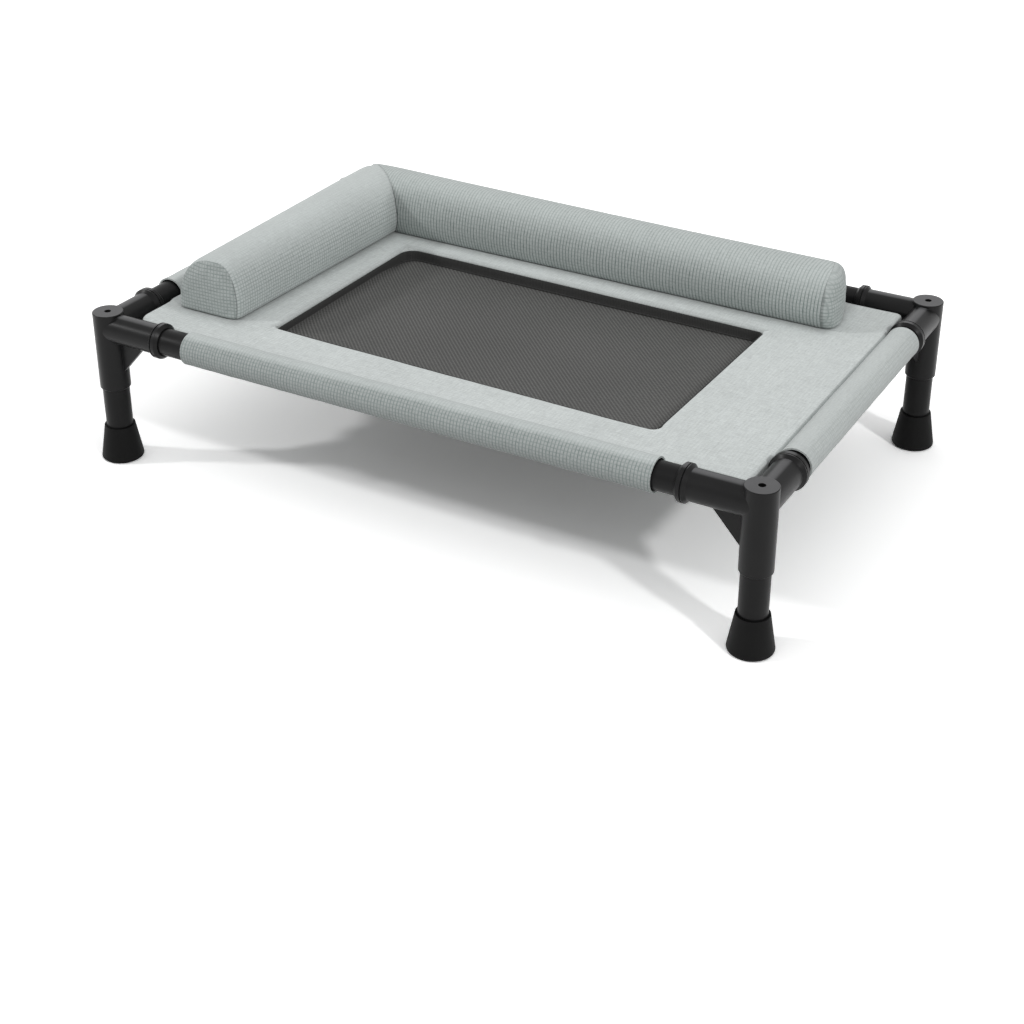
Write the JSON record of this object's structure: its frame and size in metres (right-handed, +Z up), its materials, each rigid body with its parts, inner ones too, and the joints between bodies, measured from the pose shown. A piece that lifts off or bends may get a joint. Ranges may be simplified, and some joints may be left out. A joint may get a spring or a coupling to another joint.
{
  "type": "raised dog cot",
  "caption": "Raised dog cot: black tube frame with moulded corner connectors and conical feet, taut grey-green fabric deck with a dark mesh window and an L-shaped padded bolster.",
  "frame": {"origin": "on the floor, under the middle of the four feet", "axes": "+X along the long side to the right, +Y to the back where the bolster's long arm lies, +Z up"},
  "size_m": [0.66, 0.42, 0.192],
  "materials": {
    "connector": "satin black moulded plastic",
    "tube": "black powder coat",
    "foot": "matt black",
    "cover": "plain weave, light grey-green",
    "mesh": "dark grey open mesh",
    "binding": "ribbed black tape",
    "bolster": "plain weave, light grey-green, padded"
  },
  "bodies": {
    "root": {"corner_fl": "connector", "corner_fr": "connector", "corner_bl": "connector", "corner_br": "connector", "rail_front": "tube", "rail_back": "tube", "rail_left": "tube", "rail_right": "tube", "leg_fl": "tube", "leg_fr": "tube", "leg_bl": "tube", "leg_br": "tube", "foot_fl": "foot", "foot_fr": "foot", "foot_bl": "foot", "foot_br": "foot", "sleeve_front": "cover", "sleeve_back": "cover", "sleeve_left": "cover", "sleeve_right": "cover", "deck_panel": "cover", "mesh_panel": "mesh", "window_binding": "binding", "bolster_arm_left": "bolster", "bolster_arm_back": "bolster", "bolster_end_front": "bolster", "bolster_end_right": "bolster"}
  },
  "joints": []
}
